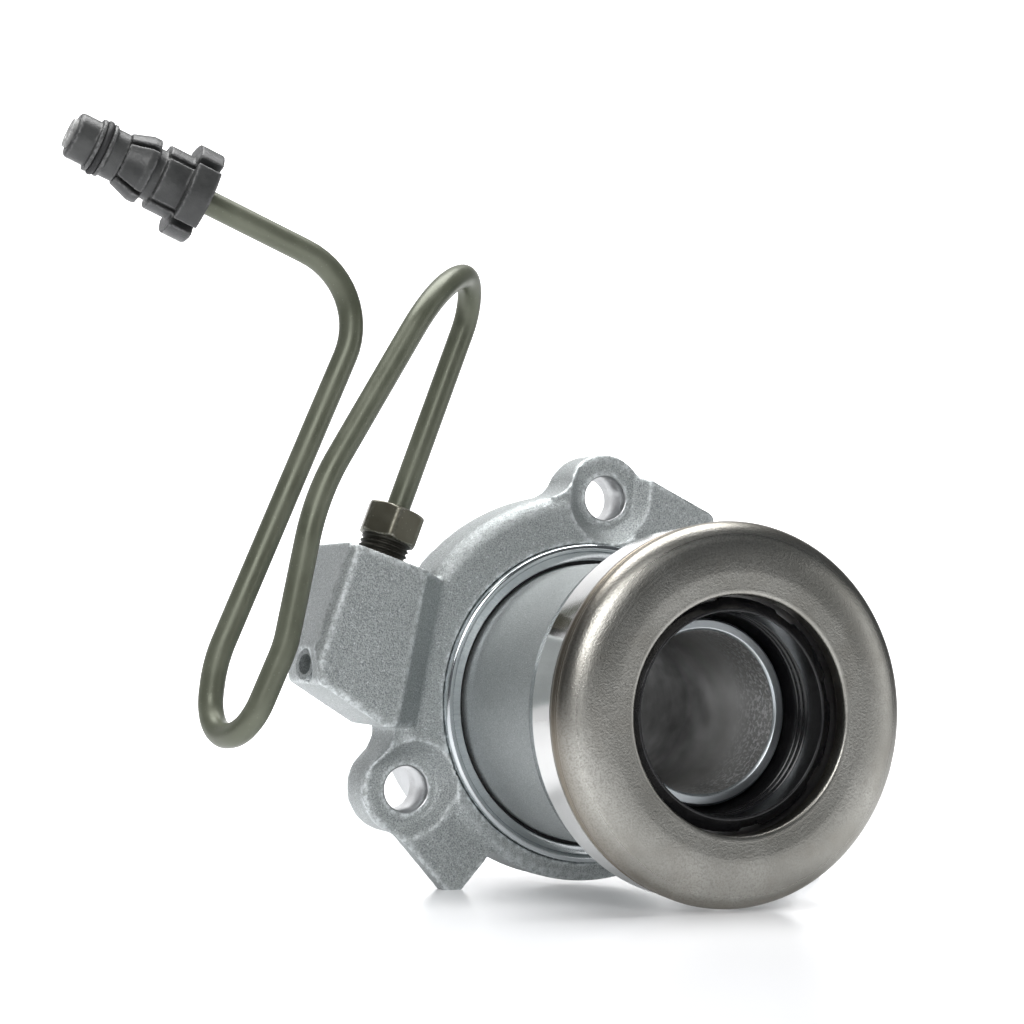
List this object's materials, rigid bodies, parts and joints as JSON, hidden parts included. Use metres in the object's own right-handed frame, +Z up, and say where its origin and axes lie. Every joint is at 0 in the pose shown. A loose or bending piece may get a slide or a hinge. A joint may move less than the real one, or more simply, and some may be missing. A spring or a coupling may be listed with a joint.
{
  "type": "concentric slave cylinder",
  "caption": "Hydraulic clutch release cylinder round a guide tube: lugged alloy housing, sliding piston, release bearing, bent steel feed pipe and quick connector.",
  "frame": {"origin": "on the bore axis, in the plane of the gearbox mounting face", "axes": "-Y along the bore axis from the mounting face towards the release bearing, +Z up through the top lug and the feed pipe, +X to the right when looking at the bearing"},
  "size_m": [0.161, 0.0955, 0.1516],
  "materials": {
    "cast_housing": "shot-blasted die casting",
    "machined_cup": "turned",
    "plated_tube": "bright zinc plated",
    "bright_ring": "bright pressed",
    "black_rubber": "matt",
    "plated_steel": "zinc plated",
    "dark_nut": "dark olive passivated",
    "olive_pipe": "satin olive coating on steel",
    "grey_plastic": "moulded",
    "pale_plastic": "moulded",
    "dark_plastic": "moulded",
    "anodised_barrel": "hard anodised",
    "tan_plastic": "moulded",
    "spring_steel": "drawn",
    "polished_ring": "ground and polished",
    "black_sleeve": "glossy moulded",
    "ball_steel": "polished",
    "pressed_shell": "satin, warm grey"
  },
  "bodies": {
    "cylinder": {"housing": "cast_housing", "pressure_cup": "machined_cup", "guide_tube": "plated_tube", "mouth_ring": "bright_ring", "wiper_seal": "black_rubber", "pilot_seal": "black_rubber", "passage_plug": "plated_steel", "tube_nut": "dark_nut", "feed_pipe": "olive_pipe", "connector_spigot": "grey_plastic", "connector_seal": "black_rubber", "nose_insert": "pale_plastic", "lock_cage": "dark_plastic"},
    "piston_group": {"piston": "anodised_barrel", "piston_seal": "black_rubber", "seal_carrier": "tan_plastic", "preload_spring": "spring_steel", "bearing_rear_ring": "polished_ring", "bearing_seal": "black_rubber", "centring_sleeve": "black_sleeve", "wave_washer": "spring_steel"},
    "ball_set": {"bearing_balls": "ball_steel", "ball_cage": "tan_plastic"},
    "shell": {"bearing_shell": "pressed_shell"}
  },
  "joints": [
    {"name": "piston_slide", "type": "slide", "parent": "cylinder", "child": "piston_group", "axis": [0, 1, 0], "range_m": [0, 0.016], "stiffness_N_per_m": 2500, "springref_m": -0.012, "deforming": ["preload_spring"]},
    {"name": "bearing_spin", "type": "hinge", "parent": "piston_group", "child": "shell", "pos_m": [0, -0.0675, 0], "axis": [0, 1, 0], "continuous": true},
    {"name": "cage_spin", "type": "hinge", "parent": "piston_group", "child": "ball_set", "pos_m": [0, -0.0675, 0], "axis": [0, 1, 0], "continuous": true}
  ],
  "couplings": [
    {"joint": "cage_spin", "follows": "bearing_spin", "ratio": 0.53}
  ]
}
